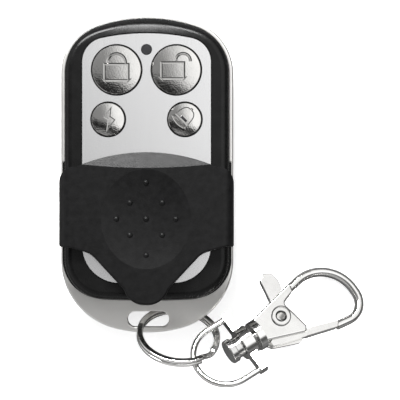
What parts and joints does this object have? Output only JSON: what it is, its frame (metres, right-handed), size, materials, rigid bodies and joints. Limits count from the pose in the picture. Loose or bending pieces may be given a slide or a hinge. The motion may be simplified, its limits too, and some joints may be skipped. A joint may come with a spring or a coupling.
{
  "type": "garage door remote",
  "caption": "Slim key-fob remote with domed chrome buttons on a brushed plate, a sliding black cover over them, a metal key-ring chin, a split ring and a swivel lobster clasp.",
  "frame": {"origin": "middle of the fob's flat back face", "axes": "+Y along the fob from the key-ring chin towards the buttons, +Z out of the button face, +X to the right seen from the front"},
  "size_m": [0.0574, 0.0693, 0.0146],
  "materials": {
    "frame_metal": "satin",
    "shell_black": "gloss",
    "back_black": "fine texture",
    "plate_metal": "brushed",
    "board_green": "solder mask",
    "cell_sleeve": "shrink sleeve",
    "contact_metal": "nickel plated",
    "switch_black": "moulded",
    "plunger_plastic": "moulded",
    "cap_chrome": "polished",
    "lens_dark": "gloss",
    "led_body": "moulded",
    "chip_black": "moulded",
    "can_metal": "plain",
    "coil_copper": "enamelled wire",
    "chip_ceramic": "ceramic",
    "screw_steel": "blackened",
    "cover_black": "soft touch",
    "ring_steel": "polished",
    "clasp_nickel": "polished",
    "spring_steel": "plain"
  },
  "bodies": {
    "housing": {"metal_frame": "frame_metal", "front_shell": "shell_black", "rear_cover": "back_black", "face_plate": "plate_metal", "circuit_board": "board_green", "battery_cell": "cell_sleeve", "battery_terminal": "contact_metal", "battery_spring": "contact_metal", "battery_contact": "contact_metal", "lock_switch": "switch_black", "unlock_switch": "switch_black", "bolt_switch": "switch_black", "bell_switch": "switch_black", "led_lens": "lens_dark", "indicator_led": "led_body", "encoder_chip": "chip_black", "resonator_can": "can_metal", "antenna_coil": "coil_copper", "chip_parts": "chip_ceramic", "case_screws": "screw_steel"},
    "lock_key": {"lock_button": "cap_chrome", "lock_plunger": "plunger_plastic"},
    "unlock_key": {"unlock_button": "cap_chrome", "unlock_plunger": "plunger_plastic"},
    "bolt_key": {"bolt_button": "cap_chrome", "bolt_plunger": "plunger_plastic"},
    "bell_key": {"bell_button": "cap_chrome", "bell_plunger": "plunger_plastic"},
    "cover": {"slide_cover": "cover_black"},
    "ring": {"split_ring": "ring_steel"},
    "eye": {"swivel_eye": "clasp_nickel"},
    "hook": {"hook_body": "clasp_nickel", "swivel_pin": "clasp_nickel", "gate_rivet": "clasp_nickel"},
    "gate": {"gate_lever": "clasp_nickel", "gate_spring": "spring_steel"}
  },
  "joints": [
    {"name": "lock_press", "type": "slide", "parent": "housing", "child": "lock_key", "axis": [0, 0, -1], "range_m": [0, 0.0003], "stiffness_N_per_m": 2000, "springref_m": -0.0001},
    {"name": "unlock_press", "type": "slide", "parent": "housing", "child": "unlock_key", "axis": [0, 0, -1], "range_m": [0, 0.0003], "stiffness_N_per_m": 2000, "springref_m": -0.0001},
    {"name": "bolt_press", "type": "slide", "parent": "housing", "child": "bolt_key", "axis": [0, 0, -1], "range_m": [0, 0.0003], "stiffness_N_per_m": 2000, "springref_m": -0.0001},
    {"name": "bell_press", "type": "slide", "parent": "housing", "child": "bell_key", "axis": [0, 0, -1], "range_m": [0, 0.0003], "stiffness_N_per_m": 2000, "springref_m": -0.0001},
    {"name": "cover_slide", "type": "slide", "parent": "housing", "child": "cover", "axis": [0, 1, 0], "range_m": [0, 0.0223]},
    {"name": "ring_swing", "type": "hinge", "parent": "housing", "child": "ring", "pos_m": [-0.0001, -0.0273, 0.005], "axis": [0.9911, -0.1331, 0], "range_deg": [-48, 2]},
    {"name": "eye_swing", "type": "hinge", "parent": "ring", "child": "eye", "pos_m": [0.01314, -0.03132, 0.00795], "axis": [0.029, 0.513, 0.8579], "range_deg": [-25, 12]},
    {"name": "hook_swivel", "type": "hinge", "parent": "eye", "child": "hook", "pos_m": [0.02524, -0.02764, 0.00641], "axis": [0.8269, 0.4698, -0.309], "continuous": true},
    {"name": "gate_pivot", "type": "hinge", "parent": "hook", "child": "gate", "pos_m": [0.02499, -0.02728, 0.0063], "axis": [0.1317, 0.3725, 0.9186], "range_deg": [0, 25], "stiffness_Nm_per_rad": 0.02, "springref_deg": -17.19}
  ]
}
